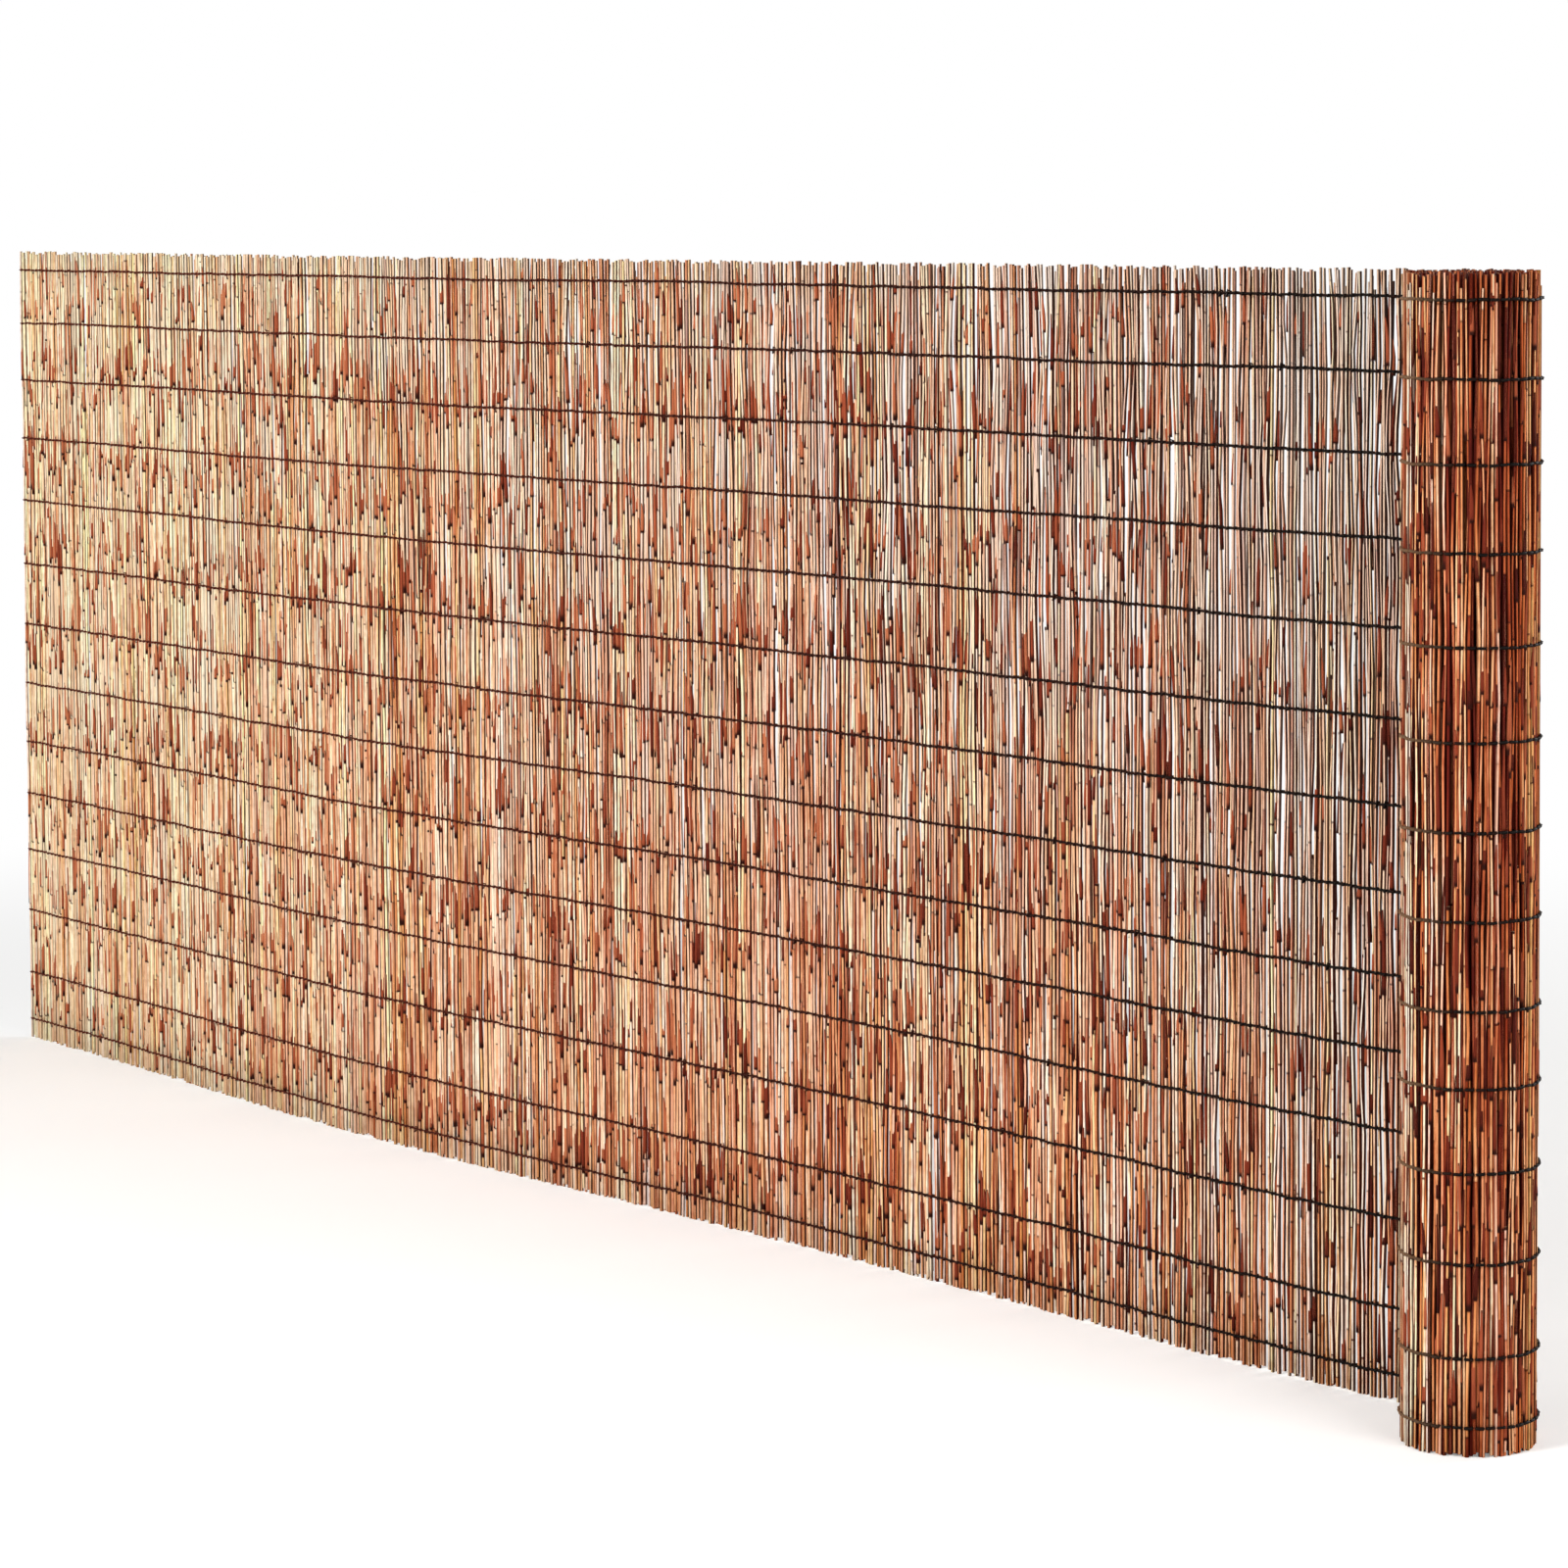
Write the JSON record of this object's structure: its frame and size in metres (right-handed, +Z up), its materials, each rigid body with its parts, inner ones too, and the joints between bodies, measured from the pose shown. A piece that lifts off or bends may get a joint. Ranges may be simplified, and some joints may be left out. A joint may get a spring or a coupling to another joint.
{
  "type": "reed fencing mat",
  "caption": "Wire-bound mat of upright thin canes for a fence or screen, one end unrolled in a slow wave and the rest standing as an upright roll.",
  "frame": {"origin": "on the ground under the middle of the whole mat's box", "axes": "+X along the open run towards the roll, +Y towards the mat's back, the side away from the picture's camera, +Z up along the reeds"},
  "size_m": [3.8258, 0.1866, 1.5],
  "materials": {
    "reed": "dry natural cane, unvarnished",
    "carrier_wire": "dark coated wire, dull",
    "stitch_wire": "dark coated wire, dull"
  },
  "bodies": {
    "root": {"open_reed_mat": "reed", "rolled_reed_mat": "reed", "carrier_wire_01": "carrier_wire", "carrier_wire_02": "carrier_wire", "carrier_wire_03": "carrier_wire", "carrier_wire_04": "carrier_wire", "carrier_wire_05": "carrier_wire", "carrier_wire_06": "carrier_wire", "carrier_wire_07": "carrier_wire", "carrier_wire_08": "carrier_wire", "carrier_wire_09": "carrier_wire", "carrier_wire_10": "carrier_wire", "carrier_wire_11": "carrier_wire", "carrier_wire_12": "carrier_wire", "carrier_wire_13": "carrier_wire", "carrier_wire_14": "carrier_wire", "stitch_wire_01": "stitch_wire", "stitch_wire_02": "stitch_wire", "stitch_wire_03": "stitch_wire", "stitch_wire_04": "stitch_wire", "stitch_wire_05": "stitch_wire", "stitch_wire_06": "stitch_wire", "stitch_wire_07": "stitch_wire", "stitch_wire_08": "stitch_wire", "stitch_wire_09": "stitch_wire", "stitch_wire_10": "stitch_wire", "stitch_wire_11": "stitch_wire", "stitch_wire_12": "stitch_wire", "stitch_wire_13": "stitch_wire", "stitch_wire_14": "stitch_wire"}
  },
  "joints": []
}
